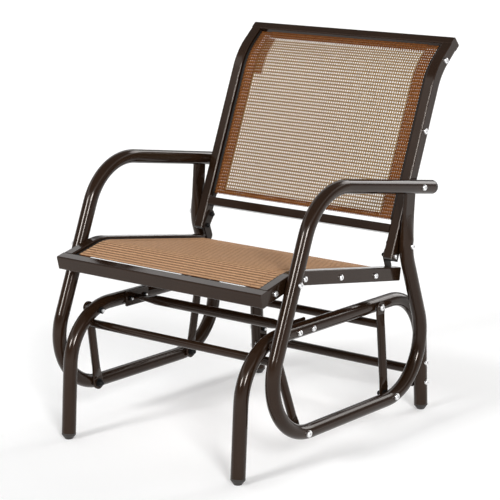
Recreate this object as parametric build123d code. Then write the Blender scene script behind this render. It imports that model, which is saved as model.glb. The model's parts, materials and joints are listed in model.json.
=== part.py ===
from build123d import *
import math
import os

# Glider chair: a bent tube base, two swinging yokes and a sling chair that hangs on them.
# Millimetres, +Z up, the chair faces -Y, +X is on the right of someone facing it.
# Side views are written as (y, z) points, with y = 0 halfway between the front and rear feet.

# Round tube
FRAME_TUBE_D = 32.0
FRAME_TUBE_WALL = 1.5
LINK_TUBE_D = 19.0
LINK_TUBE_WALL = 1.5
FRONT_CROSS_D = 22.0
REAR_CROSS_D = 22.0
CROSS_WALL = 1.5

# Base: two inverted U tubes with splayed legs
BASE_HALF_WIDTH = 243.5
FOOT_Y = 343.0
LEG_LEAN = 0.059
RAIL_Z = 290.0
BASE_BEND_R = 128.0
FOOT_PLUG_HEAD = 14.0
FOOT_TOE_INSET = 8.0
FOOT_TOE_HEIGHT = 10.0
PLUG_STEM = 18.0
PLUG_FIT = 0.15

# Cross tubes of the base and their end plates
FRONT_CROSS_Y = -130.0
REAR_CROSS_Z = 92.7
CROSS_PRESS_T = 5.0
CROSS_PRESS_WIDTH = 29.0
CROSS_TONGUE = 12.0
CROSS_BLEND = 45.0
PLATE_BOLT_PITCH = 48.5
PLATE_END = 13.75
PLATE_HEIGHT = 34.0
REAR_PLATE_HEIGHT = 26.0
PLATE_T = 3.0
PLATE_CORNER_R = 3.0

# Linkage pivots in side view
ARM_BOTTOM_Z = 88.0
FRONT_TOP_DROP = 10.0
FRONT_LOW_RISE = 2.0
REAR_TOP_DROP = 1.0
REAR_LOW_RISE = 6.5
FRONT_TOP = (-249.8, RAIL_Z - FRONT_TOP_DROP)
FRONT_LOW = (-200.2, ARM_BOTTOM_Z + FRONT_LOW_RISE)
REAR_TOP = (137.5, RAIL_Z - REAR_TOP_DROP)
REAR_LOW = (126.0, ARM_BOTTOM_Z + REAR_LOW_RISE)
YOKE_TUBE_DROP = 38.5
EYE_T = 5.0
EYE_WIDTH = 30.0
EYE_LENGTH = 15.0
EYE_BLEND = 25.0
RUNNING_GAP = 0.3
RUNNING_FIT = 0.06
OPEN_PIVOT_GAP = 2.7

# Arm loops in side view
ARM_REST_REAR_Y = 272.0
ARM_FRONT_TOP = (-156.6, 611.5)
ARM_FRONT_LOW = (-365.0, ARM_BOTTOM_Z)
ARM_REAR_RISE = 1.5
ARM_REAR_LOW = (298.0, ARM_BOTTOM_Z + ARM_REAR_RISE)
ARM_KINK = (176.0, 413.0)
ARM_REST_SLOPE = -0.147
ARM_UPRIGHT_LEAN = 0.074
ARM_TOP_R = 138.0
ARM_FRONT_R = 128.0
ARM_REAR_R = 132.0
ARM_KINK_R = 110.0
ARM_WELD_Z = 330.0
UPRIGHT_ROUND_END_Z = 444.0
UPRIGHT_FLAT_Z = 500.0
UPRIGHT_FLAT_T = 10.0
UPRIGHT_FLAT_WIDTH = 40.0
ARM_GAP = 0.2

# Rectangular tube frames of the seat and the back
CHAIR_HALF_WIDTH = 288.0
RAIL_WIDTH = 25.0
SEAT_RAIL_DEPTH = 31.0
BACK_RAIL_DEPTH = 28.0
RAIL_WALL = 1.5
RAIL_CORNER_R = 3.0
SEAT_CREST = (-205.0, 421.1)
SEAT_FRONT_Y = -321.0
SEAT_REAR_Y = 177.0
SEAT_FRONT_SLOPE = 0.243
SEAT_REAR_SLOPE = -0.1545
SEAT_BEND_R = 120.0
SEAT_REAR_RAIL_Y = 162.0
SEAT_REAR_RAIL_DROP = 6.5
SEAT_REAR_RAIL_SIZE = 20.0
BACK_LOW = (157.7, 398.3)
BACK_TOP_Y = 391.0
BACK_TOP_Z = 865.0
BACK_HEAD_DEPTH = 71.2
BACK_HEAD_HEIGHT = 61.4
BACK_BEND_R = 150.0
CROSS_RAIL = 20.0
LOWER_RAIL_DEPTH = 25.0
LOWER_RAIL_ALONG = 66.0
END_PLUG_HEAD = 3.0

# Bracket plates between seat and back
BRACKET_T = 3.5
BRACKET_WIDTH = 20.5
BRACKET_FOOT = (170.5, 378.0)

# Slings and the flat bars in their side pockets
SHEET_T = 1.6
BAR_T = 4.0
BAR_HEIGHT = 10.0
BAR_FIT = 0.2
POCKET_GAP = 0.3
SEAT_SLING_DROP = 5.0
SEAT_BAR_DROP = 17.0
SEAT_SLING_GAP = 6.0
SEAT_SLING_REAR_Y = 142.0
BACK_SLING_DROP = 6.0
BACK_BAR_DROP = 14.0
BACK_SLING_LOW = 86.0
BACK_SLING_GAP = 4.0
BACK_BAR_PAST = 6.0
SEAT_BOLT_ALONG = (46.0, 148.0, 278.0, 409.0)
BACK_BOLT_FIRST = 125.0
BACK_BOLT_LAST = 41.129
BACK_BOLT_COUNT = 3

# Fasteners
PIVOT_BOLT_D = 8.0
PIVOT_HEAD_D = 15.0
PIVOT_HEAD_H = 5.0
WASHER_D = 20.0
WASHER_T = 0.9
TOP_WASHER_T = 3.0
FRAME_BOLT_D = 6.0
FRAME_HEAD_D = 13.0
FRAME_HEAD_H = 5.0
SLING_BOLT_D = 5.0
BOLT_HOLE_FIT = 0.2
THREAD_FIT = 0.05
SOCKET_SHARE = 0.34
SOCKET_DEPTH_SHARE = 0.6
HEAD_ROUND_SHARE = 0.55
CAP_DOME_SHARE = 0.92
HEX_OVER_D = 1.62
NUT_OVER_D = 0.8
BOLT_PROUD = 3.0
ARM_BOLT_FRONT_Z = 417.0
ARM_BOLT_UPRIGHT_Z = 429.5
ARM_BOLT_REST_AHEAD = 1.282
BRACKET_BOLT_Z = 405.0
DRILL_PAST = 1.0

# Values worked out from the sizes above
PLATE_LENGTH = PLATE_BOLT_PITCH + 2 * PLATE_END
BACK_TOP = (BACK_TOP_Y, BACK_TOP_Z)
BACK_CORNER = (BACK_TOP_Y - BACK_HEAD_DEPTH, BACK_TOP_Z - BACK_HEAD_HEIGHT)
BACK_UP = (BACK_CORNER[0] - BACK_LOW[0], BACK_CORNER[1] - BACK_LOW[1])
FRAME_R = FRAME_TUBE_D / 2
LINK_R = LINK_TUBE_D / 2
BASE_OUT = BASE_HALF_WIDTH + FRAME_R
BASE_IN = BASE_HALF_WIDTH - FRAME_R
CHAIR_IN = CHAIR_HALF_WIDTH - RAIL_WIDTH
ARM_X = CHAIR_HALF_WIDTH + ARM_GAP + FRAME_R
ARM_OUT = ARM_X + FRAME_R
ARM_IN = ARM_X - FRAME_R
TOP_EYE_X = BASE_OUT + TOP_WASHER_T + RUNNING_GAP + EYE_T / 2
LOW_EYE_X = ARM_IN - WASHER_T - RUNNING_GAP - EYE_T / 2
HALF_SEAT_RAIL = SEAT_RAIL_DEPTH / 2
HALF_BACK_RAIL = BACK_RAIL_DEPTH / 2
X_AXIS = (1, 0, 0)


def side_path(x, points, radii):
    """Straight runs and tangent arcs through (y, z) points, in the plane at x."""
    return Plane.YZ.offset(x) * FilletPolyline(*points, radius=radii)


def across(x_from, x_to, at, radius):
    """Round bar along X at the (y, z) point."""
    start = min(x_from, x_to)
    length = abs(x_to - x_from)
    place = Plane(origin=(start, at[0], at[1]), z_dir=X_AXIS)
    return place * Cylinder(radius, length, align=(Align.CENTER, Align.CENTER, Align.MIN))


def start_plane(path):
    """Plane square to the path at its start, with its own X along X."""
    return Plane(origin=path @ 0, x_dir=X_AXIS, z_dir=path % 0)


def ring(diameter, wall):
    return Circle(diameter / 2) - Circle(diameter / 2 - wall)


def round_tube(path, diameter, wall):
    return sweep(start_plane(path) * ring(diameter, wall), path=path)


def box_section(width, height):
    inner_r = RAIL_CORNER_R - RAIL_WALL
    outer = RectangleRounded(width, height, RAIL_CORNER_R)
    return outer - RectangleRounded(width - 2 * RAIL_WALL, height - 2 * RAIL_WALL, inner_r)


def closed_rail(place, width, height, half_length):
    """Rectangular tube across the chair, closed at both ends."""
    outer = extrude(place * RectangleRounded(width, height, RAIL_CORNER_R), amount=half_length, both=True)
    hollow = RectangleRounded(width - 2 * RAIL_WALL, height - 2 * RAIL_WALL, RAIL_CORNER_R - RAIL_WALL)
    return outer - extrude(place * hollow, amount=half_length - RAIL_WALL, both=True)


def mirrored(shape):
    return mirror(shape, about=Plane.YZ)


def both_sides(shapes):
    """One group of separate solids: each shape and its mirror image."""
    solids = []
    for shape in shapes:
        solids += shape.solids()
        solids += mirrored(shape).solids()
    return Compound(children=solids)


def along_line(start, end, distance):
    """The point at a distance from start towards end, in side view."""
    length = math.dist(start, end)
    step = distance / length
    return (start[0] + (end[0] - start[0]) * step, start[1] + (end[1] - start[1]) * step)


def crossing(point, direction, other, other_direction):
    """Where two lines meet in side view."""
    det = direction[0] * other_direction[1] - direction[1] * other_direction[0]
    dy = other[0] - point[0]
    dz = other[1] - point[1]
    step = (dy * other_direction[1] - dz * other_direction[0]) / det
    return (point[0] + direction[0] * step, point[1] + direction[1] * step)


def offset_line(points, distance):
    """The same bent line moved to its left side, seen along the line, by a distance."""
    moved = []
    for a, b in zip(points, points[1:]):
        length = math.dist(a, b)
        direction = ((b[0] - a[0]) / length, (b[1] - a[1]) / length)
        normal = (-direction[1] * distance, direction[0] * distance)
        moved.append(((a[0] + normal[0], a[1] + normal[1]), direction, (b[0] + normal[0], b[1] + normal[1])))
    line = [moved[0][0]]
    for first, second in zip(moved, moved[1:]):
        line.append(crossing(first[0], first[1], second[0], second[1]))
    line.append(moved[-1][2])
    return line


def bolt(at, head_x, tip_x, diameter, head_d, head_h):
    """Pan head bolt along X: the head stands outside head_x and the shank runs in to tip_x."""
    head = across(head_x, head_x + head_h, at, head_d / 2)
    rim = head.edges().filter_by(GeomType.CIRCLE).sort_by(Axis.X)[-1]
    head = fillet(rim, head_h * HEAD_ROUND_SHARE)
    socket_place = Plane(origin=(head_x + head_h, at[0], at[1]), z_dir=X_AXIS)
    socket_depth = head_h * SOCKET_DEPTH_SHARE
    socket = extrude(socket_place * RegularPolygon(head_d * SOCKET_SHARE / 2, 6), amount=-socket_depth)
    return head + across(tip_x, head_x, at, diameter / 2) - socket


def nut(at, face_x, diameter):
    """Plain hex nut whose outer face, towards +X, is at face_x."""
    height = diameter * NUT_OVER_D
    place = Plane(origin=(face_x, at[0], at[1]), z_dir=X_AXIS)
    body = extrude(place * RegularPolygon(diameter * HEX_OVER_D / 2, 6, major_radius=False), amount=-height)
    return body - across(face_x - 2 * height, face_x, at, diameter / 2 + THREAD_FIT)


def cap_nut(at, face_x, diameter):
    """Hex nut closed by a dome on its inner side."""
    height = diameter * NUT_OVER_D
    dome_r = diameter * HEX_OVER_D / 2 * CAP_DOME_SHARE
    place = Plane(origin=(face_x, at[0], at[1]), z_dir=X_AXIS)
    body = extrude(place * RegularPolygon(diameter * HEX_OVER_D / 2, 6, major_radius=False), amount=-height)
    ball = Pos(face_x - height, at[0], at[1]) * Sphere(dome_r)
    keep = across(face_x - height - 2 * dome_r, face_x - height, at, 2 * dome_r)
    body = body + (ball & keep)
    return body - across(face_x - height - BOLT_PROUD, face_x, at, diameter / 2 + THREAD_FIT)


def cap_nut_tip(face_x, diameter):
    """Where a bolt ends inside a cap nut."""
    return face_x - diameter * NUT_OVER_D - BOLT_PROUD + 2 * THREAD_FIT


def washer(at, x_from, x_to):
    return across(x_from, x_to, at, WASHER_D / 2) - across(x_from, x_to, at, PIVOT_BOLT_D / 2 + BOLT_HOLE_FIT)


def drill(shape, holes):
    """Cut round holes along X: each hole is (point, diameter, x_from, x_to)."""
    for at, diameter, x_from, x_to in holes:
        shape = shape - across(x_from, x_to, at, diameter / 2 + BOLT_HOLE_FIT)
    return shape


# Base tubes
front_foot = (-FOOT_Y, 0.0)
rear_foot = (FOOT_Y, 0.0)
front_corner = (-FOOT_Y + LEG_LEAN * RAIL_Z, RAIL_Z)
rear_corner = (FOOT_Y - LEG_LEAN * RAIL_Z, RAIL_Z)
base_points = [
    along_line(front_foot, front_corner, FOOT_PLUG_HEAD),
    front_corner,
    rear_corner,
    along_line(rear_foot, rear_corner, FOOT_PLUG_HEAD),
]
base_path = side_path(BASE_HALF_WIDTH, base_points, [BASE_BEND_R, BASE_BEND_R])
leg_angle = math.degrees(math.atan(LEG_LEAN))
front_plate_at = (FRONT_CROSS_Y, RAIL_Z)
rear_plate_at = (FOOT_Y - LEG_LEAN * REAR_CROSS_Z, REAR_CROSS_Z)
half_pitch = PLATE_BOLT_PITCH / 2
front_plate_bolts = [(FRONT_CROSS_Y - half_pitch, RAIL_Z), (FRONT_CROSS_Y + half_pitch, RAIL_Z)]
rear_plate_bolts = [
    along_line(rear_plate_at, rear_corner, half_pitch),
    along_line(rear_plate_at, rear_foot, half_pitch),
]
plate_bolts = front_plate_bolts + rear_plate_bolts
base_from = BASE_IN - DRILL_PAST
base_to = BASE_OUT + DRILL_PAST
base_holes = [(at, FRAME_BOLT_D, base_from, base_to) for at in plate_bolts]
base_holes += [(at, PIVOT_BOLT_D, base_from, base_to) for at in (FRONT_TOP, REAR_TOP)]
base_side = drill(round_tube(base_path, FRAME_TUBE_D, FRAME_TUBE_WALL), base_holes)


def foot_plug(foot, corner):
    """Plastic plug in the end of a leg, cut level with the floor."""
    length = math.dist(foot, corner)
    direction = (0, (corner[0] - foot[0]) / length, (corner[1] - foot[1]) / length)
    origin = (BASE_HALF_WIDTH, foot[0], foot[1])
    sole = FRAME_R * LEG_LEAN
    place = Plane(origin=origin, x_dir=X_AXIS, z_dir=direction)
    low = (Align.CENTER, Align.CENTER, Align.MIN)
    stem_r = FRAME_R - FRAME_TUBE_WALL - PLUG_FIT
    toe = Pos(0, 0, -sole) * Cone(FRAME_R - FOOT_TOE_INSET, FRAME_R, FOOT_TOE_HEIGHT + sole, align=low)
    head = Pos(0, 0, FOOT_TOE_HEIGHT) * Cylinder(FRAME_R, FOOT_PLUG_HEAD - FOOT_TOE_HEIGHT, align=low)
    stem = Pos(0, 0, FOOT_PLUG_HEAD) * Cylinder(stem_r, PLUG_STEM, align=low)
    floor = Pos(BASE_HALF_WIDTH, foot[0], 0) * Box(
        4 * FRAME_R, 4 * FRAME_R, 4 * FRAME_R, align=(Align.CENTER, Align.CENTER, Align.MAX)
    )
    return place * (toe + head + stem) - floor


def end_plate(at, angle, height, bolts):
    """Flat end plate on the inner side of a base tube."""
    place = Plane.YZ.offset(BASE_IN) * Pos(at[0], at[1]) * Rot(0, 0, angle)
    plate = extrude(place * RectangleRounded(PLATE_LENGTH, height, PLATE_CORNER_R), amount=-PLATE_T)
    return drill(plate, [(hole, FRAME_BOLT_D, BASE_IN - 2 * PLATE_T, BASE_IN + PLATE_T) for hole in bolts])


plate_face = BASE_IN - PLATE_T
front_foot_plug = foot_plug(front_foot, front_corner)
rear_foot_plug = foot_plug(rear_foot, rear_corner)
front_plate = end_plate(front_plate_at, 0, PLATE_HEIGHT, front_plate_bolts)
rear_plate = end_plate(rear_plate_at, 90 + leg_angle, REAR_PLATE_HEIGHT, rear_plate_bolts)


def cross_tube(at, diameter, half_length, wall):
    outer = across(-half_length, half_length, at, diameter / 2)
    return outer - across(-half_length, half_length, at, diameter / 2 - wall)


base_bolts = []
base_nuts = []
for at in plate_bolts:
    nut_end = plate_face - FRAME_BOLT_D * NUT_OVER_D
    base_bolts.append(bolt(at, BASE_OUT, nut_end - BOLT_PROUD, FRAME_BOLT_D, FRAME_HEAD_D, FRAME_HEAD_H))
    base_nuts.append(nut(at, plate_face, FRAME_BOLT_D))

# Top pivots: the bolt is held in the base tube and the link's eye turns on it
top_head_x = TOP_EYE_X + EYE_T / 2 + RUNNING_GAP
top_bolts = []
top_washers = []
top_nuts = []
for at in (FRONT_TOP, REAR_TOP):
    nut_end = BASE_IN - PIVOT_BOLT_D * NUT_OVER_D
    top_bolts.append(bolt(at, top_head_x, nut_end - BOLT_PROUD, PIVOT_BOLT_D, PIVOT_HEAD_D, PIVOT_HEAD_H))
    top_washers.append(washer(at, BASE_OUT, BASE_OUT + TOP_WASHER_T))
    top_nuts.append(nut(at, BASE_IN, PIVOT_BOLT_D))


def pressed_section(thickness, width, x, along):
    """Flattened tube: two flats joined by round edges, in the link's own frame."""
    r = thickness / 2
    flat = width / 2 - r
    edges = [
        Line((x + r, -flat, along), (x + r, flat, along)),
        ThreePointArc((x + r, flat, along), (x, flat + r, along), (x - r, flat, along)),
        Line((x - r, flat, along), (x - r, -flat, along)),
        ThreePointArc((x - r, -flat, along), (x, -flat - r, along), (x + r, -flat, along)),
    ]
    return Face(Wire([edge.edge() for edge in edges]))


def round_section(diameter, x, along):
    """Round tube drawn as four arcs, so that it blends with the flattened section."""
    r = diameter / 2
    c = r * math.sqrt(0.5)
    edges = [
        ThreePointArc((x + c, -c, along), (x + r, 0, along), (x + c, c, along)),
        ThreePointArc((x + c, c, along), (x, r, along), (x - c, c, along)),
        ThreePointArc((x - c, c, along), (x - r, 0, along), (x - c, -c, along)),
        ThreePointArc((x - c, -c, along), (x, -r, along), (x + c, -c, along)),
    ]
    return Face(Wire([edge.edge() for edge in edges]))


def hanger_link(top, low, low_fit):
    """Tube link with flattened eyes, from its top pivot to its lower pivot."""
    length = math.dist(top, low)
    down = (0, (low[0] - top[0]) / length, (low[1] - top[1]) / length)
    place = Plane(origin=(0, top[0], top[1]), x_dir=X_AXIS, z_dir=down)
    blend_end = EYE_LENGTH + EYE_BLEND
    slope = (LOW_EYE_X - TOP_EYE_X) / (length - 2 * EYE_LENGTH)

    def x_at(along):
        return TOP_EYE_X + slope * (along - EYE_LENGTH)

    inner_t = EYE_T - 2 * LINK_TUBE_WALL
    inner_d = LINK_TUBE_D - 2 * LINK_TUBE_WALL
    outer = [
        pressed_section(EYE_T, EYE_WIDTH, TOP_EYE_X, -EYE_WIDTH / 2),
        pressed_section(EYE_T, EYE_WIDTH, TOP_EYE_X, EYE_LENGTH),
        round_section(LINK_TUBE_D, x_at(blend_end), blend_end),
        round_section(LINK_TUBE_D, x_at(length - blend_end), length - blend_end),
        pressed_section(EYE_T, EYE_WIDTH, LOW_EYE_X, length - EYE_LENGTH),
        pressed_section(EYE_T, EYE_WIDTH, LOW_EYE_X, length + EYE_WIDTH / 2),
    ]
    bore = [
        round_section(inner_d, x_at(blend_end), blend_end),
        round_section(inner_d, x_at(length - blend_end), length - blend_end),
    ]
    outline = Plane.YZ * Pos(0, length / 2) * Rot(0, 0, 90) * SlotCenterToCenter(length, EYE_WIDTH)
    link = loft(outer, ruled=True) & extrude(outline, amount=2 * LOW_EYE_X)
    link = place * (link - loft(bore, ruled=True))
    link = link - across(TOP_EYE_X - EYE_T, TOP_EYE_X + EYE_T, top, PIVOT_BOLT_D / 2 + RUNNING_FIT)
    return link - across(LOW_EYE_X - EYE_T, LOW_EYE_X + EYE_T, low, PIVOT_BOLT_D / 2 + low_fit)


def yoke_tube(top, low, link):
    """Cross tube of a yoke, coped to the insides of its two links."""
    at = along_line(top, low, YOKE_TUBE_DROP)
    tube = cross_tube(at, LINK_TUBE_D, TOP_EYE_X, LINK_TUBE_WALL)
    cut = tube - link - mirrored(link)
    return cut.solids().sort_by(SortBy.VOLUME)[-1]


def pressed_cross_tube(at, diameter, half_length, wall):
    """Cross tube whose ends are pressed flat and level where they meet the end plates."""
    place = Plane(origin=(0, at[0], at[1]), x_dir=(0, 0, 1), z_dir=X_AXIS)
    tongue_from = half_length - CROSS_TONGUE
    round_to = tongue_from - CROSS_BLEND

    def tongue(at_x):
        return pressed_section(CROSS_PRESS_T, CROSS_PRESS_WIDTH, 0, at_x)

    sections = [tongue(-half_length), tongue(-tongue_from)]
    sections += [round_section(diameter, 0, at_x) for at_x in (-round_to, round_to)]
    sections += [tongue(tongue_from), tongue(half_length)]
    return place * loft(sections, ruled=True) - across(-round_to, round_to, at, diameter / 2 - wall)


front_link = hanger_link(FRONT_TOP, FRONT_LOW, RUNNING_FIT)
rear_link = hanger_link(REAR_TOP, REAR_LOW, OPEN_PIVOT_GAP)
front_yoke_tube = yoke_tube(FRONT_TOP, FRONT_LOW, front_link)
rear_yoke_tube = yoke_tube(REAR_TOP, REAR_LOW, rear_link)

# Arm loops
rest_rear = (ARM_REST_REAR_Y, ARM_FRONT_TOP[1] + ARM_REST_SLOPE * (ARM_REST_REAR_Y - ARM_FRONT_TOP[0]))


def upright_at(z):
    """Point of the rear upright above its kink."""
    return (ARM_KINK[0] + ARM_UPRIGHT_LEAN * (z - ARM_KINK[1]), z)


def rest_at(y):
    """Point on the armrest's centre line."""
    return (y, ARM_FRONT_TOP[1] + ARM_REST_SLOPE * (y - ARM_FRONT_TOP[0]))


def line_at(low, high, z):
    """Point at a height on the line between two points in side view."""
    share = (z - low[1]) / (high[1] - low[1])
    return (low[0] + share * (high[0] - low[0]), z)


# Each loop is three tubes, butt welded at one height: armrest, lower bow and upright
round_end = upright_at(UPRIGHT_ROUND_END_Z)
front_weld = line_at(ARM_FRONT_LOW, ARM_FRONT_TOP, ARM_WELD_Z)
rear_weld = line_at(ARM_REAR_LOW, ARM_KINK, ARM_WELD_Z)
rest_path = side_path(ARM_X, [rest_rear, ARM_FRONT_TOP, front_weld], [ARM_TOP_R])
bow_path = side_path(ARM_X, [front_weld, ARM_FRONT_LOW, ARM_REAR_LOW, rear_weld], [ARM_FRONT_R, ARM_REAR_R])
upright_path = side_path(ARM_X, [rear_weld, ARM_KINK, round_end], [ARM_KINK_R])
upright_meets = crossing(
    round_end, (ARM_UPRIGHT_LEAN, 1.0), rest_rear, (1.0, ARM_REST_SLOPE)
)


def flattened_upright(shrink):
    """Top of the rear upright, from round tube to the flattened end in the armrest."""
    size = 2 * shrink
    length = math.dist(round_end, upright_meets)
    flat_from = math.dist(round_end, upright_at(UPRIGHT_FLAT_Z))
    up = (0, ARM_UPRIGHT_LEAN, 1)
    place = Plane(origin=(ARM_X, round_end[0], round_end[1]), x_dir=X_AXIS, z_dir=up)
    sections = [
        round_section(FRAME_TUBE_D - size, 0, 0),
        pressed_section(UPRIGHT_FLAT_T - size, UPRIGHT_FLAT_WIDTH - size, 0, flat_from),
        pressed_section(UPRIGHT_FLAT_T - size, UPRIGHT_FLAT_WIDTH - size, 0, length),
    ]
    return place * loft(sections, ruled=True)


rest_solid = sweep(start_plane(rest_path) * Circle(FRAME_R), path=rest_path)
upright_top = flattened_upright(0) - flattened_upright(FRAME_TUBE_WALL) - rest_solid
upright_tube = round_tube(upright_path, FRAME_TUBE_D, FRAME_TUBE_WALL) + upright_top

# Arm bolts and lower pivot bolts pass through the loop
front_arm_bolt = line_at(ARM_FRONT_LOW, ARM_FRONT_TOP, ARM_BOLT_FRONT_Z)
upright_bolt = upright_at(ARM_BOLT_UPRIGHT_Z)
rest_meets_back = crossing(BACK_LOW, BACK_UP, rest_rear, (1.0, ARM_REST_SLOPE))
rest_bolt = rest_at(rest_meets_back[0] - ARM_BOLT_REST_AHEAD)
arm_from = ARM_IN - DRILL_PAST
arm_to = ARM_OUT + DRILL_PAST
rest_holes = [(at, FRAME_BOLT_D, arm_from, arm_to) for at in (front_arm_bolt, rest_bolt)]
bow_holes = [(at, PIVOT_BOLT_D, arm_from, arm_to) for at in (FRONT_LOW, REAR_LOW)]
arm_rest = drill(round_tube(rest_path, FRAME_TUBE_D, FRAME_TUBE_WALL), rest_holes)
arm_bow = drill(round_tube(bow_path, FRAME_TUBE_D, FRAME_TUBE_WALL), bow_holes)
arm_upright = drill(upright_tube, [(upright_bolt, FRAME_BOLT_D, arm_from, arm_to)])

# Domed plug in the rear end of the armrest
rest_direction = (0, 1, ARM_REST_SLOPE)
plug_place = Plane(origin=(ARM_X, rest_rear[0], rest_rear[1]), x_dir=X_AXIS, z_dir=rest_direction)
dome = Sphere(FRAME_R) & Cylinder(FRAME_R * 2, FRAME_R * 2, align=(Align.CENTER, Align.CENTER, Align.MIN))
plug_stem = Cylinder(
    FRAME_R - FRAME_TUBE_WALL - PLUG_FIT, PLUG_STEM, align=(Align.CENTER, Align.CENTER, Align.MAX)
)
arm_plug = plug_place * (dome + plug_stem)

# Seat frame
seat_front = (SEAT_FRONT_Y, SEAT_CREST[1] + SEAT_FRONT_SLOPE * (SEAT_FRONT_Y - SEAT_CREST[0]))
seat_rear = (SEAT_REAR_Y, SEAT_CREST[1] + SEAT_REAR_SLOPE * (SEAT_REAR_Y - SEAT_CREST[0]))
seat_line = [seat_front, SEAT_CREST, seat_rear]
rail_x = CHAIR_HALF_WIDTH - RAIL_WIDTH / 2
seat_rail_line = [along_line(seat_front, SEAT_CREST, RAIL_WIDTH), SEAT_CREST, seat_rear]
seat_rail_path = side_path(rail_x, seat_rail_line, [SEAT_BEND_R])
seat_full_path = side_path(rail_x, seat_line, [SEAT_BEND_R])


def path_point(path, distance, lower):
    """Point in side view at a distance along the path and lower by an amount square to it."""
    share = distance / path.length
    point = path @ share
    direction = path % share
    return (point.Y + direction.Z * lower, point.Z - direction.Y * lower)


seat_bolts_at = [path_point(seat_full_path, s, SEAT_BAR_DROP - HALF_SEAT_RAIL) for s in SEAT_BOLT_ALONG]
rail_from = CHAIR_IN - DRILL_PAST
rail_to = CHAIR_HALF_WIDTH + DRILL_PAST
outer_wall_from = CHAIR_HALF_WIDTH - 2 * RAIL_WALL
seat_holes = [(at, SLING_BOLT_D, rail_from, rail_to) for at in seat_bolts_at]
seat_holes.append((front_arm_bolt, FRAME_BOLT_D, outer_wall_from, rail_to))
seat_side = sweep(start_plane(seat_rail_path) * box_section(RAIL_WIDTH, SEAT_RAIL_DEPTH), path=seat_rail_path)
seat_side = drill(seat_side, seat_holes)

front_rail_at = along_line(seat_front, SEAT_CREST, RAIL_WIDTH / 2)
front_tilt = math.degrees(math.atan(SEAT_FRONT_SLOPE))
front_rail_place = Plane.YZ * Pos(front_rail_at[0], front_rail_at[1]) * Rot(0, 0, front_tilt)
seat_front_rail = closed_rail(front_rail_place, RAIL_WIDTH, SEAT_RAIL_DEPTH, CHAIR_HALF_WIDTH)

rear_rail_mid_z = SEAT_CREST[1] + SEAT_REAR_SLOPE * (SEAT_REAR_RAIL_Y - SEAT_CREST[0])
rear_tilt = math.degrees(math.atan(SEAT_REAR_SLOPE))
bracket_in = CHAIR_IN - BRACKET_T
rear_rail_z = rear_rail_mid_z - SEAT_REAR_RAIL_DROP
rear_rail_place = Plane.YZ * Pos(SEAT_REAR_RAIL_Y, rear_rail_z) * Rot(0, 0, rear_tilt)
seat_rear_rail = closed_rail(rear_rail_place, SEAT_REAR_RAIL_SIZE, SEAT_REAR_RAIL_SIZE, CHAIR_IN)


def end_plug(point, outward, depth):
    """Plastic plug that closes the open end of a rectangular rail."""
    place = Plane(origin=(rail_x, point[0], point[1]), x_dir=X_AXIS, z_dir=(0, outward[0], outward[1]))
    inside = 2 * (RAIL_WALL + PLUG_FIT)
    head = extrude(place * RectangleRounded(RAIL_WIDTH, depth, RAIL_CORNER_R), amount=END_PLUG_HEAD)
    stem_r = RAIL_CORNER_R - RAIL_WALL
    stem = RectangleRounded(RAIL_WIDTH - inside, depth - inside, stem_r)
    return head + extrude(place * stem, amount=-PLUG_STEM)


seat_plug = end_plug(seat_rear, (1.0, SEAT_REAR_SLOPE), SEAT_RAIL_DEPTH)

# Back frame
back_line = [BACK_LOW, BACK_CORNER, BACK_TOP]
back_rail_line = [BACK_LOW, BACK_CORNER, along_line(BACK_TOP, BACK_CORNER, CROSS_RAIL)]
back_rail_path = side_path(rail_x, back_rail_line, [BACK_BEND_R])
bracket_bolt = crossing((0, BRACKET_BOLT_Z), (1, 0), BACK_LOW, BACK_UP)
back_bolt_span = back_rail_path.length - BACK_BOLT_FIRST - BACK_BOLT_LAST
back_bolts_at = []
for i in range(BACK_BOLT_COUNT):
    along = BACK_BOLT_FIRST + back_bolt_span * i / (BACK_BOLT_COUNT - 1)
    back_bolts_at.append(path_point(back_rail_path, along, BACK_BAR_DROP - HALF_BACK_RAIL))
back_holes = [(at, SLING_BOLT_D, rail_from, rail_to) for at in back_bolts_at]
back_holes += [(at, FRAME_BOLT_D, rail_from, rail_to) for at in (upright_bolt, bracket_bolt)]
back_holes.append((rest_bolt, FRAME_BOLT_D, outer_wall_from, rail_to))
back_side = sweep(start_plane(back_rail_path) * box_section(RAIL_WIDTH, BACK_RAIL_DEPTH), path=back_rail_path)
back_side = drill(back_side, back_holes)
back_plug = end_plug(BACK_LOW, (-BACK_UP[0], -BACK_UP[1]), BACK_RAIL_DEPTH)
back_plug = drill(back_plug, [(bracket_bolt, FRAME_BOLT_D, CHAIR_IN, CHAIR_HALF_WIDTH)])

top_rail_at = along_line(BACK_TOP, BACK_CORNER, CROSS_RAIL / 2)
top_tilt = math.degrees(math.atan2(BACK_TOP[1] - BACK_CORNER[1], BACK_TOP[0] - BACK_CORNER[0]))
top_rail_place = Plane.YZ * Pos(top_rail_at[0], top_rail_at[1]) * Rot(0, 0, top_tilt)
back_top_rail = closed_rail(top_rail_place, CROSS_RAIL, BACK_RAIL_DEPTH, CHAIR_HALF_WIDTH)

back_tilt = math.degrees(math.atan2(BACK_UP[1], BACK_UP[0]))
lower_rail_line = offset_line(back_line, HALF_BACK_RAIL - LOWER_RAIL_DEPTH / 2)
lower_rail_at = along_line(lower_rail_line[0], lower_rail_line[1], LOWER_RAIL_ALONG)
lower_rail_place = Plane.YZ * Pos(lower_rail_at[0], lower_rail_at[1]) * Rot(0, 0, back_tilt)
back_lower_rail = closed_rail(lower_rail_place, CROSS_RAIL, LOWER_RAIL_DEPTH, CHAIR_IN)

# Bracket plates: a strip that stands on the seat rail and carries the two bolts of the back rail
def bracket_strip(start, end):
    """Round-ended strip of plate on the inner face of the rails."""
    ends = (Pos(*start) * Circle(BRACKET_WIDTH / 2)).edges() + (Pos(*end) * Circle(BRACKET_WIDTH / 2)).edges()
    return extrude(Plane.YZ.offset(bracket_in) * make_hull(ends), amount=BRACKET_T)


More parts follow.
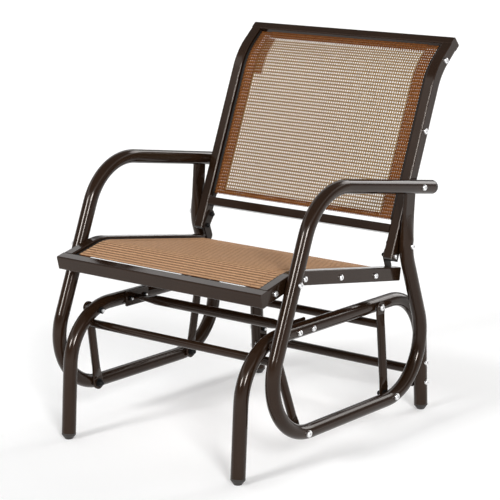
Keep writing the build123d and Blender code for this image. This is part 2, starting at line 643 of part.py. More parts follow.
bracket = bracket_strip(BRACKET_FOOT, bracket_bolt) + bracket_strip(bracket_bolt, upright_bolt)
bracket_from = bracket_in - DRILL_PAST
bracket_to = CHAIR_IN + DRILL_PAST
bracket_holes = [(at, FRAME_BOLT_D, bracket_from, bracket_to) for at in (upright_bolt, bracket_bolt)]
bracket = drill(bracket, bracket_holes)

# Slings: a stretched sheet whose side pockets hang along the rails and hold flat bars
sheet_half = CHAIR_IN - POCKET_GAP
pocket_width = BAR_T + 2 * BAR_FIT + 2 * SHEET_T
bar_x = sheet_half - pocket_width / 2


def sling(path, bar_depth):
    """Sheet with two pockets, its top face on the path."""
    depth = bar_depth + BAR_HEIGHT / 2 + BAR_FIT + SHEET_T
    top = (Align.CENTER, Align.MAX)
    section = Rectangle(2 * sheet_half, SHEET_T, align=top)
    for side in (-1, 1):
        section += Pos(side * bar_x, 0) * Rectangle(pocket_width, depth, align=top)
    for side in (-1, 1):
        section -= Pos(side * bar_x, -bar_depth) * Rectangle(BAR_T + 2 * BAR_FIT, BAR_HEIGHT + 2 * BAR_FIT)
    return sweep(sling_plane(path) * section, path=path)


def sling_plane(path):
    """Plane square to the path at its start, with its Y on the face side of the sling."""
    return Plane(origin=path @ 0, x_dir=(-1, 0, 0), z_dir=path % 0)


def sling_bar(path, bar_depth):
    return sweep(sling_plane(path) * Pos(-bar_x, -bar_depth) * Rectangle(BAR_T, BAR_HEIGHT), path=path)


seat_face = offset_line(seat_line, HALF_SEAT_RAIL - SEAT_SLING_DROP)
seat_sling_front = along_line(seat_face[0], seat_face[1], RAIL_WIDTH + SEAT_SLING_GAP)
rear_share = (SEAT_SLING_REAR_Y - seat_face[1][0]) / (seat_face[2][0] - seat_face[1][0])
seat_sling_rear = along_line(seat_face[1], seat_face[2], rear_share * math.dist(seat_face[1], seat_face[2]))
seat_sling_path = side_path(0, [seat_sling_front, seat_face[1], seat_sling_rear], [SEAT_BEND_R])
back_face = offset_line(back_line, HALF_BACK_RAIL - BACK_SLING_DROP)
back_sling_low = along_line(back_face[0], back_face[1], BACK_SLING_LOW)
back_sling_top = along_line(back_face[2], back_face[1], CROSS_RAIL + BACK_SLING_GAP)
back_sling_path = side_path(0, [back_sling_low, back_face[1], back_sling_top], [BACK_BEND_R])
back_bar_low = along_line(back_face[0], back_face[1], BACK_SLING_LOW - BACK_BAR_PAST)
back_bar_path = side_path(0, [back_bar_low, back_face[1], back_sling_top], [BACK_BEND_R])
seat_bar_depth = SEAT_BAR_DROP - SEAT_SLING_DROP
back_bar_depth = BACK_BAR_DROP - BACK_SLING_DROP
bolt_tip = bar_x - BAR_T / 2
sling_hole_from = bolt_tip - BAR_FIT
seat_bar_holes = [(at, SLING_BOLT_D, sling_hole_from, CHAIR_IN) for at in seat_bolts_at]
back_bar_holes = [(at, SLING_BOLT_D, sling_hole_from, CHAIR_IN) for at in back_bolts_at]


def holes_both_sides(holes):
    return holes + [(at, diameter, -x_from, -x_to) for at, diameter, x_from, x_to in holes]


seat_sling = drill(sling(seat_sling_path, seat_bar_depth), holes_both_sides(seat_bar_holes))
back_sling = drill(sling(back_sling_path, back_bar_depth), holes_both_sides(back_bar_holes))
seat_bar = drill(sling_bar(seat_sling_path, seat_bar_depth), seat_bar_holes)
back_bar = drill(sling_bar(back_bar_path, back_bar_depth), back_bar_holes)

# Fasteners of the chair
seat_sling_bolts = []
for at in seat_bolts_at:
    seat_sling_bolts.append(bolt(at, CHAIR_HALF_WIDTH, bolt_tip, SLING_BOLT_D, FRAME_HEAD_D, FRAME_HEAD_H))
back_sling_bolts = []
for at in back_bolts_at:
    back_sling_bolts.append(bolt(at, CHAIR_HALF_WIDTH, bolt_tip, SLING_BOLT_D, FRAME_HEAD_D, FRAME_HEAD_H))

captive_face = CHAIR_HALF_WIDTH - RAIL_WALL
captive_end = captive_face - FRAME_BOLT_D * NUT_OVER_D
arm_bolts = []
captive_nuts = []
for at in (front_arm_bolt, rest_bolt):
    arm_bolts.append(bolt(at, ARM_OUT, captive_end - BOLT_PROUD, FRAME_BOLT_D, FRAME_HEAD_D, FRAME_HEAD_H))
    captive_nuts.append(nut(at, captive_face, FRAME_BOLT_D))
cap_tip = cap_nut_tip(bracket_in, FRAME_BOLT_D)
upright_bolts = [bolt(upright_bolt, ARM_OUT, cap_tip, FRAME_BOLT_D, FRAME_HEAD_D, FRAME_HEAD_H)]
bracket_bolts = [bolt(bracket_bolt, CHAIR_HALF_WIDTH, cap_tip, FRAME_BOLT_D, FRAME_HEAD_D, FRAME_HEAD_H)]
bracket_nuts = [cap_nut(at, bracket_in, FRAME_BOLT_D) for at in (upright_bolt, bracket_bolt)]

# Lower pivots: the bolt is held in the arm loop and the link's eye turns on it
low_nut_face = LOW_EYE_X - EYE_T / 2 - RUNNING_GAP - WASHER_T
low_bolts = []
low_washers = []
low_nuts = []
for at in (FRONT_LOW, REAR_LOW):
    low_bolts.append(
        bolt(at, ARM_OUT, cap_nut_tip(low_nut_face, PIVOT_BOLT_D), PIVOT_BOLT_D, PIVOT_HEAD_D, PIVOT_HEAD_H)
    )
    low_washers.append(washer(at, ARM_IN - WASHER_T, ARM_IN))
    low_washers.append(washer(at, low_nut_face, low_nut_face + WASHER_T))
    low_nuts.append(cap_nut(at, low_nut_face, PIVOT_BOLT_D))

nodes = {
    "base_side_left": mirrored(base_side),
    "base_side_right": base_side,
    "front_foot_plug_left": mirrored(front_foot_plug),
    "front_foot_plug_right": front_foot_plug,
    "rear_foot_plug_left": mirrored(rear_foot_plug),
    "rear_foot_plug_right": rear_foot_plug,
    "front_cross_tube": pressed_cross_tube(front_plate_at, FRONT_CROSS_D, plate_face, CROSS_WALL),
    "front_end_plate_left": mirrored(front_plate),
    "front_end_plate_right": front_plate,
    "rear_cross_tube": cross_tube(rear_plate_at, REAR_CROSS_D, plate_face, CROSS_WALL),
    "rear_end_plate_left": mirrored(rear_plate),
    "rear_end_plate_right": rear_plate,
    "base_bolts": both_sides(base_bolts),
    "base_nuts": both_sides(base_nuts),
    "top_pivot_bolts": both_sides(top_bolts),
    "top_pivot_washers": both_sides(top_washers),
    "top_pivot_nuts": both_sides(top_nuts),
    "front_link_left": mirrored(front_link),
    "front_link_right": front_link,
    "front_yoke_tube": front_yoke_tube,
    "rear_link_left": mirrored(rear_link),
    "rear_link_right": rear_link,
    "rear_yoke_tube": rear_yoke_tube,
    "arm_rest_tube_left": mirrored(arm_rest),
    "arm_rest_tube_right": arm_rest,
    "arm_lower_bow_left": mirrored(arm_bow),
    "arm_lower_bow_right": arm_bow,
    "arm_upright_left": mirrored(arm_upright),
    "arm_upright_right": arm_upright,
    "arm_plug_left": mirrored(arm_plug),
    "arm_plug_right": arm_plug,
    "seat_side_rail_left": mirrored(seat_side),
    "seat_side_rail_right": seat_side,
    "seat_front_rail": seat_front_rail,
    "seat_rear_rail": seat_rear_rail,
    "seat_rail_plugs": both_sides([seat_plug]),
    "back_side_rail_left": mirrored(back_side),
    "back_side_rail_right": back_side,
    "back_top_rail": back_top_rail,
    "back_lower_rail": back_lower_rail,
    "back_rail_plugs": both_sides([back_plug]),
    "back_bracket_left": mirrored(bracket),
    "back_bracket_right": bracket,
    "seat_sling": seat_sling,
    "back_sling": back_sling,
    "seat_sling_bar_left": mirrored(seat_bar),
    "seat_sling_bar_right": seat_bar,
    "back_sling_bar_left": mirrored(back_bar),
    "back_sling_bar_right": back_bar,
    "seat_sling_bolts": both_sides(seat_sling_bolts),
    "back_sling_bolts": both_sides(back_sling_bolts),
    "arm_bolts": both_sides(arm_bolts),
    "captive_nuts": both_sides(captive_nuts),
    "upright_bolts": both_sides(upright_bolts),
    "bracket_bolts": both_sides(bracket_bolts),
    "bracket_nuts": both_sides(bracket_nuts),
    "lower_pivot_bolts": both_sides(low_bolts),
    "lower_pivot_washers": both_sides(low_washers),
    "lower_pivot_nuts": both_sides(low_nuts),
}

# The origin is on the floor, at the middle of the chair's width and depth
front_most = front_foot_plug.bounding_box().min.Y
rear_most = back_top_rail.bounding_box().max.Y
middle_y = (front_most + rear_most) / 2
os.makedirs("parts", exist_ok=True)
for name, shape in nodes.items():
    export_step(Pos(0, -middle_y, 0) * shape, f"parts/{name}.step")
print("shift in y", -middle_y)
pivots = {"front_top": FRONT_TOP, "front_low": FRONT_LOW, "rear_top": REAR_TOP, "rear_low": REAR_LOW}
for name, point in pivots.items():
    print(name, "y", point[0] - middle_y, "z", point[1])
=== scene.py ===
import json
import math

import bpy
import numpy as np
from mathutils import Matrix, Vector
from mathutils.geometry import intersect_line_line


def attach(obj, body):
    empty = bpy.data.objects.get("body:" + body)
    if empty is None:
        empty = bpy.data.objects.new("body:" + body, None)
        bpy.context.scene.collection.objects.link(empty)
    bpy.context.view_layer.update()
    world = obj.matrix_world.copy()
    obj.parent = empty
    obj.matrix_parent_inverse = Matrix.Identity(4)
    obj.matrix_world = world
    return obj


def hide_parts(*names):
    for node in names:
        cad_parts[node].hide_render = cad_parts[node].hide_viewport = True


# Looks of a glider chair: powder coated tube, zinc bolts and stretched woven slings.
# Lengths are millimetres in this script and metres in the scene. Angles are degrees.
MM = 0.001

# Camera: where it stands and how it looks, worked out from the feet and the frames
CAM_AZIMUTH = 38.63
CAM_ELEVATION = 12.422
CAM_ROLL = 0.113
CAM_DISTANCE = 4229.341
CAM_AIM_RIGHT = 0.725
CAM_AIM_Z = 407.217
CAM_SHIFT_Y = -20.264
CAM_LENS = 135.143
CAM_SENSOR = 36.0
CAM_CLIP_END = 100000.0

# Slings: where their faces look, how far a face may lean from that, the digits kept of its points,
# and the radii of their bends
SEAT_FACING = Vector((0.0, 0.0, 1.0))
BACK_FACING = Vector((0.0, -1.0, 0.0))
FACE_LEAN = 53.0
FACE_DIGITS = 3
SEAT_BEND_R = 120.0
BACK_BEND_R = 150.0

# Weave: wefts run across the chair and warps along the sling, and each yarn pair is their widths
WEFT_THICK = 0.95
WARP_PITCH = 6.2
WARP_THICK = 0.85
SEAT_PITCH = 10.6
SEAT_YARN = (8.3, 4.7)
SEAT_HEM_YARN = (8.0, 4.6)
SEAT_WAVE = 0.15
SEAT_WARP_DROP = 0.7
BACK_PITCH = 7.7
BACK_YARN = (3.5, 3.35)
BACK_HEM_YARN = (3.4, 2.3)
BACK_WAVE = 0.4
BACK_WARP_DROP = 0.0
SEAM_LAP = 1.5
LAYER_DROP = 0.9
HEM_DROP = 3.1
PATCH_DROP = 0.1
FOLD_SHIFT = 1.0
END_MARGIN = 0.01

# Edges of the slings
SLEEVE_OUT = 262.7
SLEEVE_WIDTH = 7.6
SLEEVE_WALL = 1.2
SLEEVE_ROUND = 2.0
SLEEVE_MIN_ROUND = 0.4
SLEEVE_RINGS = 40
SLEEVE_CORNER_STEPS = 3
SEAT_SLEEVE_DEPTH = 18.8
BACK_SLEEVE_DEPTH = 14.8
CLOTH_HALF = SLEEVE_OUT - SLEEVE_WIDTH
SIDE_HEM = 30.0
TOP_HEM = 21.0
BOTTOM_HEM = 13.0
SEAT_FRONT_GAP = 6.5
PATCH_WIDTH = 24.0
PATCH_LENGTH = 100.0

# Stitches: each bows up from the cloth between its two ends
STITCH_LENGTH = 4.6
STITCH_PITCH = 6.6
STITCH_WIDTH = 0.9
STITCH_IN = 3.5
STITCH_LIFT = 0.1
STITCH_REACH = np.array([-0.5, -0.18, 0.18, 0.5]) * STITCH_LENGTH
STITCH_BOW = np.array([-0.5, 0.35, 0.35, -0.5])

# Colours and gloss of coated pieces: colours between two tones, roughness between two values,
# and the scale of the surface grain, which like all noise scales counts per metre
WHITE = (1.0, 1.0, 1.0)
WARM = (1.0, 0.92, 0.86)
COATINGS = {
    "frame_paint": {
        "tones": ((0.0135, 0.0064, 0.0032), (0.0185, 0.0092, 0.0050)),
        "rough": (0.10, 0.16),
        "grain": 900.0,
        "specular": 0.28,
        "tint": WARM,
    },
    "black_paint": {
        "tones": ((0.009, 0.006, 0.0045), (0.013, 0.0085, 0.0065)),
        "rough": (0.32, 0.42),
        "grain": 1100.0,
        "specular": 0.22,
        "tint": WARM,
    },
    "black_nut": {
        "tones": ((0.004, 0.004, 0.004), (0.007, 0.007, 0.007)),
        "rough": (0.42, 0.54),
        "grain": 1500.0,
        "specular": 0.18,
    },
    "zinc_bolt": {
        "tones": ((0.78, 0.78, 0.79), (0.88, 0.88, 0.88)),
        "rough": (0.24, 0.36),
        "grain": 1500.0,
        "metallic": 1.0,
    },
    "plug_plastic": {
        "tones": ((0.014, 0.011, 0.0095), (0.019, 0.015, 0.013)),
        "rough": (0.38, 0.50),
        "grain": 700.0,
    },
    "edge_sleeve": {
        "tones": ((0.004, 0.0035, 0.003), (0.007, 0.006, 0.005)),
        "rough": (0.45, 0.60),
        "grain": 1200.0,
        "specular": 0.2,
    },
}
COAT_DRIFT_SCALE = 9.0
COAT_GLOSS_SCALE = 35.0
COAT_BUMP = 0.05
COAT_BUMP_DEPTH = 0.3

# Colours of yarns and threads, between two tones
YARN_TONES = {
    "seat_mesh": ((0.365, 0.210, 0.116), (0.46, 0.270, 0.153)),
    # Painted shade: the seat's warps are dark to stand in for the shade seen through the holes between
    # wefts
    "seat_painted_shade_yarn": ((0.085, 0.030, 0.009), (0.13, 0.050, 0.017)),
    "seat_thread": ((0.33, 0.185, 0.100), (0.42, 0.240, 0.132)),
    # One cloth in two colours: the back's face yarn is painted lighter for light shining through it,
    # and its hem face painted darker for the shade of the doubled hem
    "back_mesh": ((0.175, 0.110, 0.053), (0.26, 0.172, 0.090)),
    "back_hem_face_painted_shade": ((0.096, 0.029, 0.006), (0.155, 0.055, 0.013)),
    "back_hem_fold": ((0.30, 0.125, 0.048), (0.42, 0.190, 0.082)),
    "back_thread": ((0.08, 0.030, 0.010), (0.13, 0.055, 0.022)),
}
YARN_TONE_SCALE = 160.0
YARN_TONE_RANGE = (0.32, 0.68)
YARN_GLOSS_SCALE = 300.0
YARN_ROUGH = (0.50, 0.70)
YARN_SPECULAR = 0.06
YARN_GRAIN_SCALE = 1400.0
YARN_BUMP = 0.25
YARN_BUMP_DEPTH = 0.2

# Noise: how fine its detail goes, and the range that holds most of its values
SMOOTH_DETAIL = 2.0
PLAIN_DETAIL = 3.0
FINE_DETAIL = 4.0
NOISE_RANGE = (0.3, 0.7)

# Floor, surroundings and lamps: bands are (height of the direction, level) from horizon to ceiling,
# and lamps are azimuth from the chair's front towards its right, elevation, width and strength
FLOOR_HALF = 60000.0
FLOOR_COLOR = (0.95, 0.95, 0.95, 1.0)
FLOOR_GLOW = (0.06, 0.06, 0.06, 1.0)
ROOM_STRENGTH = 1.55
ROOM_BANDS = [
    (0.0, 0.52),
    (0.10, 0.52),
    (0.18, 0.16),
    (0.40, 0.16),
    (0.46, 1.0),
    (0.60, 1.0),
    (0.64, 0.15),
]
LAMP_DISTANCE = 4000.0
LAMPS = {
    "light_front": (-8.0, 27.0, 13.0, 1.55),
    "light_camera": (53.0, 24.0, 14.0, 2.0),
    "light_behind": (172.0, 29.0, 32.0, 1.05),
}

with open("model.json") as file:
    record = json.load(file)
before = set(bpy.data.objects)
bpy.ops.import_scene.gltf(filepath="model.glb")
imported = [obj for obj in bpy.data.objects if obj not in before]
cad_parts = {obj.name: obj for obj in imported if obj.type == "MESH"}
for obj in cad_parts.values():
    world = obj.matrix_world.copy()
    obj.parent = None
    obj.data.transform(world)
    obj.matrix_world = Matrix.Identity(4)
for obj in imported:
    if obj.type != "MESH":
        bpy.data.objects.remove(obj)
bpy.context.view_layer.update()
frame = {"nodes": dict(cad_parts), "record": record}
nodes = frame["nodes"]


# Materials
def new_material(name):
    """Node material with a principled shader, and the object coordinates for its noise."""
    material = bpy.data.materials.new(name)
    material.use_nodes = True
    tree = material.node_tree
    tree.nodes.clear()
    output = tree.nodes.new("ShaderNodeOutputMaterial")
    shader = tree.nodes.new("ShaderNodeBsdfPrincipled")
    tree.links.new(shader.outputs["BSDF"], output.inputs["Surface"])
    coords = tree.nodes.new("ShaderNodeTexCoord")
    return material, tree, shader, coords.outputs["Object"]


def noise(tree, coords, scale, detail=PLAIN_DETAIL):
    """Noise value between 0 and 1."""
    node = tree.nodes.new("ShaderNodeTexNoise")
    node.inputs["Scale"].default_value = scale
    node.inputs["Detail"].default_value = detail
    tree.links.new(coords, node.inputs["Vector"])
    return node.outputs["Fac"]


def ramp(tree, value, stops):
    """Colour ramp over a value: stops are (position, colour) pairs."""
    node = tree.nodes.new("ShaderNodeValToRGB")
    elements = node.color_ramp.elements
    while len(elements) < len(stops):
        elements.new(0.5)
    for element, (position, color) in zip(elements, stops):
        element.position = position
        element.color = (*color, 1.0)
    tree.links.new(value, node.inputs["Fac"])
    return node.outputs["Color"]


def spread(tree, value, limits):
    """Map a noise value to a range."""
    node = tree.nodes.new("ShaderNodeMapRange")
    node.inputs["From Min"].default_value = NOISE_RANGE[0]
    node.inputs["From Max"].default_value = NOISE_RANGE[1]
    node.inputs["To Min"].default_value = limits[0]
    node.inputs["To Max"].default_value = limits[1]
    tree.links.new(value, node.inputs["Value"])
    return node.outputs["Result"]


def bump(tree, shader, height, strength, depth):
    """Let a height value tilt the shading of a surface."""
    node = tree.nodes.new("ShaderNodeBump")
    node.inputs["Strength"].default_value = strength
    node.inputs["Distance"].default_value = depth * MM
    tree.links.new(height, node.inputs["Height"])
    tree.links.new(node.outputs["Normal"], shader.inputs["Normal"])


def coated(name, tones, rough, grain, specular=0.5, metallic=0.0, tint=WHITE):
    """Paint, plastic or plating: slow colour drift, uneven gloss and a fine surface grain."""
    material, tree, shader, coords = new_material(name)
    drift = noise(tree, coords, COAT_DRIFT_SCALE)
    tree.links.new(ramp(tree, drift, list(zip(NOISE_RANGE, tones))), shader.inputs["Base Color"])
    gloss = noise(tree, coords, COAT_GLOSS_SCALE)
    tree.links.new(spread(tree, gloss, rough), shader.inputs["Roughness"])
    shader.inputs["Metallic"].default_value = metallic
    shader.inputs["Specular IOR Level"].default_value = specular
    shader.inputs["Specular Tint"].default_value = (*tint, 1.0)
    bump(tree, shader, noise(tree, coords, grain, SMOOTH_DETAIL), COAT_BUMP, COAT_BUMP_DEPTH)
    return material


def woven(name, tones):
    """Coated yarn: colour that changes from yarn to yarn and along it."""
    material, tree, shader, coords = new_material(name)
    tone = noise(tree, coords, YARN_TONE_SCALE, FINE_DETAIL)
    tree.links.new(ramp(tree, tone, list(zip(YARN_TONE_RANGE, tones))), shader.inputs["Base Color"])
    gloss = noise(tree, coords, YARN_GLOSS_SCALE)
    tree.links.new(spread(tree, gloss, YARN_ROUGH), shader.inputs["Roughness"])
    shader.inputs["Specular IOR Level"].default_value = YARN_SPECULAR
    bump(tree, shader, noise(tree, coords, YARN_GRAIN_SCALE, SMOOTH_DETAIL), YARN_BUMP, YARN_BUMP_DEPTH)
    return material


looks = {name: coated(name, **finish) for name, finish in COATINGS.items()}
looks.update({name: woven(name, tones) for name, tones in YARN_TONES.items()})
for part in frame["record"]["subparts"]:
    node = nodes[part["node"]]
    node.data.materials.clear()
    node.data.materials.append(looks[part["material_slot"]])

# Looks of the wefts and warps of each sling: its face, its hems' face and the fold behind them. The
# seat's warps and fold get a yarn painted dark for shade
yarn_looks = {
    "seat": {
        "face": (looks["seat_mesh"], looks["seat_painted_shade_yarn"]),
        # Painted shade: the seat's fold behind its face is dark for the shade it lies in
        "fold": (looks["seat_painted_shade_yarn"], looks["seat_painted_shade_yarn"]),
    },
    "back": {
        # Painted light: the back's face yarn is lighter than its hem face for light shining through it
        "face": (looks["back_mesh"], looks["back_mesh"]),
        # Painted shade: the back's hem face is darker than its face for the shade of the doubled cloth
        "hem": (looks["back_hem_face_painted_shade"], looks["back_hem_face_painted_shade"]),
        "fold": (looks["back_hem_fold"], looks["back_hem_fold"]),
    },
}


# Sling geometry
def face_line(name, facing):
    """Start, corner and end of a sling's face in side view, as (y, z), measured on its CAD solid."""
    mesh = nodes[name].data
    least = math.cos(math.radians(FACE_LEAN))
    spots = set()
    for polygon in mesh.polygons:
        corners = [mesh.vertices[i].co / MM for i in polygon.vertices]
        spans = min(c.x for c in corners) < 0.0 < max(c.x for c in corners)
        if spans and polygon.normal.dot(facing) > least:
            spots.update((round(c.y, FACE_DIGITS), round(c.z, FACE_DIGITS)) for c in corners)
    line = [Vector((*spot, 0.0)) for spot in sorted(spots)]
    corner, _ = intersect_line_line(line[0], line[1], line[-2], line[-1])
    return [line[0].xy, corner.xy, line[-1].xy]


class SidePath:
    """A bent line in side view: two straight runs joined by a tangent arc."""

    def __init__(self, points, radius):
        a, b, c = points
        first = (b - a).normalized()
        second = (c - b).normalized()
        turn = first.angle_signed(second)
        reach = radius * math.tan(abs(turn) / 2)
        self.radius = radius
        self.start = a
        self.first = first
        self.second = second
        self.run = (b - a).length - reach
        self.arc = radius * abs(turn)
        self.arc_start = a + first * self.run
        self.arc_end = b + second * reach
        self.length = self.run + self.arc + (c - b).length - reach
        # angle_signed counts clockwise turns as positive
        self.side = -1.0 if turn > 0 else 1.0

    def at(self, s):
        """Point and direction at a distance along the line."""
        if s <= self.run:
            return self.start + self.first * s, self.first
        if s >= self.run + self.arc:
            return self.arc_end + self.second * (s - self.run - self.arc), self.second
        left = Vector((-self.first.y, self.first.x))
        centre = self.arc_start + left * self.side * self.radius
        turned = Matrix.Rotation(self.side * (s - self.run) / self.radius, 2)
        return centre - turned @ left * self.side * self.radius, turned @ self.first


def frames_along(path, distances):
    """Arrays of points, directions and face normals, as (x, y, z) with x = 0."""
    points = np.zeros((len(distances), 3))
    along = np.zeros((len(distances), 3))
    for i, s in enumerate(distances):
        point, direction = path.at(s)
        points[i, 1:] = point
        along[i, 1:] = direction
    normals = np.stack([np.zeros(len(distances)), -along[:, 2], along[:, 1]], axis=1)
    return points, along, normals


def strands(centres, sides, normals, width, thick):
    """Closed four-sided yarns: centres, sides and normals are arrays of yarn, sample, xyz."""
    count, samples = centres.shape[:2]
    corners = [(0.5, 0.5), (-0.5, 0.5), (-0.5, -0.5), (0.5, -0.5)]
    rings = [centres + sides * (a * width) + normals * (b * thick) for a, b in corners]
    verts = np.stack(rings, axis=2).reshape(-1, 3)
    base = (np.arange(count)[:, None] * samples + np.arange(samples - 1)[None, :]).reshape(-1) * 4
    quads = []
    for c in range(4):
        d = (c + 1) % 4
        quads.append(np.stack([base + c, base + d, base + 4 + d, base + 4 + c], axis=1))
    first = np.arange(count) * samples * 4
    last = first + (samples - 1) * 4
    quads.append(np.stack([first + 3, first + 2, first + 1, first], axis=1))
    quads.append(np.stack([last, last + 1, last + 2, last + 3], axis=1))
    return verts, np.concatenate(quads)


def weave(path, cloth, yarn, area, drop, shift=0.0):
    """Wefts and warps over part of a sling, their middle a drop below its face."""
    pitch, wave, warp_drop = cloth
    weft_width, warp_width = yarn
    x_from, x_to, s_from, s_to = area
    warp_count = round((x_to - x_from) / WARP_PITCH)
    step = (x_to - x_from) / warp_count
    # The last weft reaches at most a quarter of its width past the end
    weft_s = np.arange(s_from + pitch / 2 * (1 + shift), s_to - weft_width / 4, pitch)
    warp_x = x_from + (np.arange(warp_count) + (1 + shift) / 2) * step
    # Wefts, sampled over each warp and between warps
    xs = np.linspace(x_from, x_to, 2 * warp_count + 1)
    points, along, normals = frames_along(path, weft_s)
    turns = (xs[None, :] - warp_x[0]) / step + np.arange(len(weft_s))[:, None]
    lift = wave * np.cos(np.pi * turns) - drop
    grid = points[:, None, :] + lift[:, :, None] * normals[:, None, :]
    grid[:, :, 0] = xs[None, :]
    sides = np.broadcast_to(along[:, None, :], grid.shape)
    ups = np.broadcast_to(normals[:, None, :], grid.shape)
    wefts = strands(grid, sides, ups, weft_width, WEFT_THICK)
    # Warps, sampled over each weft and between wefts
    ss = np.arange(s_from, s_to + END_MARGIN, pitch / 2)
    points, _, normals = frames_along(path, ss)
    turns = (ss[None, :] - weft_s[0]) / pitch + np.arange(warp_count)[:, None]
    lift = -wave * np.cos(np.pi * turns) - drop - warp_drop
    grid = points[None, :, :] + lift[:, :, None] * normals[None, :, :]
    grid[:, :, 0] = warp_x[:, None]
    sides = np.broadcast_to(np.array([-1.0, 0.0, 0.0]), grid.shape)
    ups = np.broadcast_to(normals[None, :, :], grid.shape)
    warps = strands(grid, sides, ups, warp_width, WARP_THICK)
    return wefts, warps


def stitches(path, rows):
    """Short threads in rows: each row is (x, s, x step, s step, count)."""
    centres = []
    sides = []
    ups = []
    for x, s, step_x, step_s, count in rows:
        reach = STITCH_REACH / math.hypot(step_x, step_s)
        for i in range(count):
            points, along, normals = frames_along(path, s + (i + reach) * step_s)
            thread = points + normals * (STITCH_LIFT + STITCH_BOW)[:, None]
            thread[:, 0] = x + (i + reach) * step_x
            centres.append(thread)
            ups.append(normals)
            across = np.broadcast_to([-1.0, 0.0, 0.0], along.shape)
            sides.append(across if step_x == 0 else along)
    return strands(np.array(centres), np.array(sides), np.array(ups), STITCH_WIDTH, STITCH_WIDTH)


def sleeve_outline(depth, wall):
    """Rounded rectangle of the sleeve's cross section, a wall inside its outer face."""
    half = SLEEVE_WIDTH / 2 - wall
    tall = depth / 2 - wall
    r = max(SLEEVE_ROUND - wall, SLEEVE_MIN_ROUND)
    outline = []
    for cx, cy, start in ((1, 1, 0), (-1, 1, 90), (-1, -1, 180), (1, -1, 270)):
        for step in range(SLEEVE_CORNER_STEPS + 1):
            angle = math.radians(start + 90 / SLEEVE_CORNER_STEPS * step)
            a = cx * (half - r) + r * math.cos(angle)
            b = cy * (tall - r) + r * math.sin(angle)
            outline.append((a, b))
    return outline


def sleeve(path, side, depth):
    """Hollow edge sleeve around the bar, open at both ends."""
    points, _, normals = frames_along(path, np.linspace(0.0, path.length, SLEEVE_RINGS))
    middle = side * (SLEEVE_OUT - SLEEVE_WIDTH / 2)
    verts = []
    for wall in (0.0, SLEEVE_WALL):
        outline = sleeve_outline(depth, wall)
        for point, normal in zip(points, normals):
            for a, b in outline:
                spot = point + normal * (b - depth / 2)
                verts.append((middle + a, spot[1], spot[2]))
    size = len(outline)
    inner = size * SLEEVE_RINGS
    top = size * (SLEEVE_RINGS - 1)
    faces = []
    for i in range(size):
        j = (i + 1) % size
        for low in range(0, top, size):
            high = low + size
            faces.append((low + i, low + j, high + j, high + i))
            faces.append((inner + high + i, inner + high + j, inner + low + j, inner + low + i))
        faces.append((i, inner + i, inner + j, j))
        faces.append((top + j, inner + top + j, inner + top + i, top + i))
    return np.array(verts), np.array(faces)


def piece(name, groups):
    """One smooth mesh riding on the chair: groups are (material, parts), parts are (verts, quads)."""
    mesh = bpy.data.meshes.new(name)
    verts = []
    faces = []
    look = []
    start = 0
    for index, (material, parts) in enumerate(groups):
        mesh.materials.append(material)
        for part_verts, part_faces in parts:
            verts.append(part_verts * MM)
            faces.append(part_faces + start)
            look += [index] * len(part_faces)
            start += len(part_verts)
    mesh.from_pydata(np.concatenate(verts).tolist(), [], np.concatenate(faces).tolist())
    mesh.polygons.foreach_set("material_index", look)
    mesh.shade_smooth()
    obj = bpy.data.objects.new(name, mesh)
    bpy.context.scene.collection.objects.link(obj)
    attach(obj, "chair")
    return obj


def yarn_groups(pair, weaves):
    """Mesh groups of the wefts and of the warps of several weaves."""
    return [(look, [parts[i] for parts in weaves]) for i, look in enumerate(pair)]


def sling(label, path, cloth, yarns, depth, gap, end_hems):
    """A stretched woven sling with folded hems, stitching and edge sleeves."""
    length = path.length
    kinds = yarn_looks[label]
    yarn, hem_yarn = yarns
    first_hem, last_hem = end_hems
    inner = CLOTH_HALF - SIDE_HEM
    low = gap + first_hem
    top = length - last_hem
    folded = [
        (-CLOTH_HALF, -inner, gap, length),
        (inner, CLOTH_HALF, gap, length),
        (-inner, inner, top, length),
    ]
    if first_hem:
        folded.append((-inner, inner, gap, low))
    if "hem" in kinds:
        # Hems with yarns of their own, painted darker for shade, and a second layer of cloth at the
        # upper left
        hem_weaves = [weave(path, cloth, hem_yarn, area, LAYER_DROP) for area in folded]
        patch = (-inner, PATCH_WIDTH - inner, top - PATCH_LENGTH, top)
        hem_weaves.append(weave(path, cloth, hem_yarn, patch, PATCH_DROP))
        folded.append(patch)
        middle = (-inner - SEAM_LAP, inner + SEAM_LAP, low, top)
        face = weave(path, cloth, yarn, middle, LAYER_DROP)
        groups = yarn_groups(kinds["face"], [face]) + yarn_groups(kinds["hem"], hem_weaves)
    else:
        face = weave(path, cloth, yarn, (-CLOTH_HALF, CLOTH_HALF, gap, length), LAYER_DROP)
        groups = yarn_groups(kinds["face"], [face])
    folds = [weave(path, cloth, hem_yarn, area, HEM_DROP, FOLD_SHIFT) for area in folded]
    woven_cloth = piece(f"{label}_weave", groups)
    hems = piece(f"{label}_hems", yarn_groups(kinds["fold"], folds))

    per_side = int((length - gap) / STITCH_PITCH)
    per_end = int(2 * inner / STITCH_PITCH)
    rows = []
    for x in (-inner - STITCH_IN, inner + STITCH_IN):
        rows.append((x, gap + STITCH_PITCH / 2, 0.0, STITCH_PITCH, per_side))
    rows.append((-inner, top + STITCH_IN, STITCH_PITCH, 0.0, per_end))
    if first_hem:
        rows.append((-inner, low - STITCH_IN, STITCH_PITCH, 0.0, per_end))
    thread = looks[f"{label}_thread"]
    sewn = piece(f"{label}_stitching", [(thread, [stitches(path, rows)])])

    for side, word in ((-1, "left"), (1, "right")):
        groups = [(looks["edge_sleeve"], [sleeve(path, side, depth)])]
        piece(f"{label}_edge_sleeve_{word}", groups)

    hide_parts(f"{label}_sling")


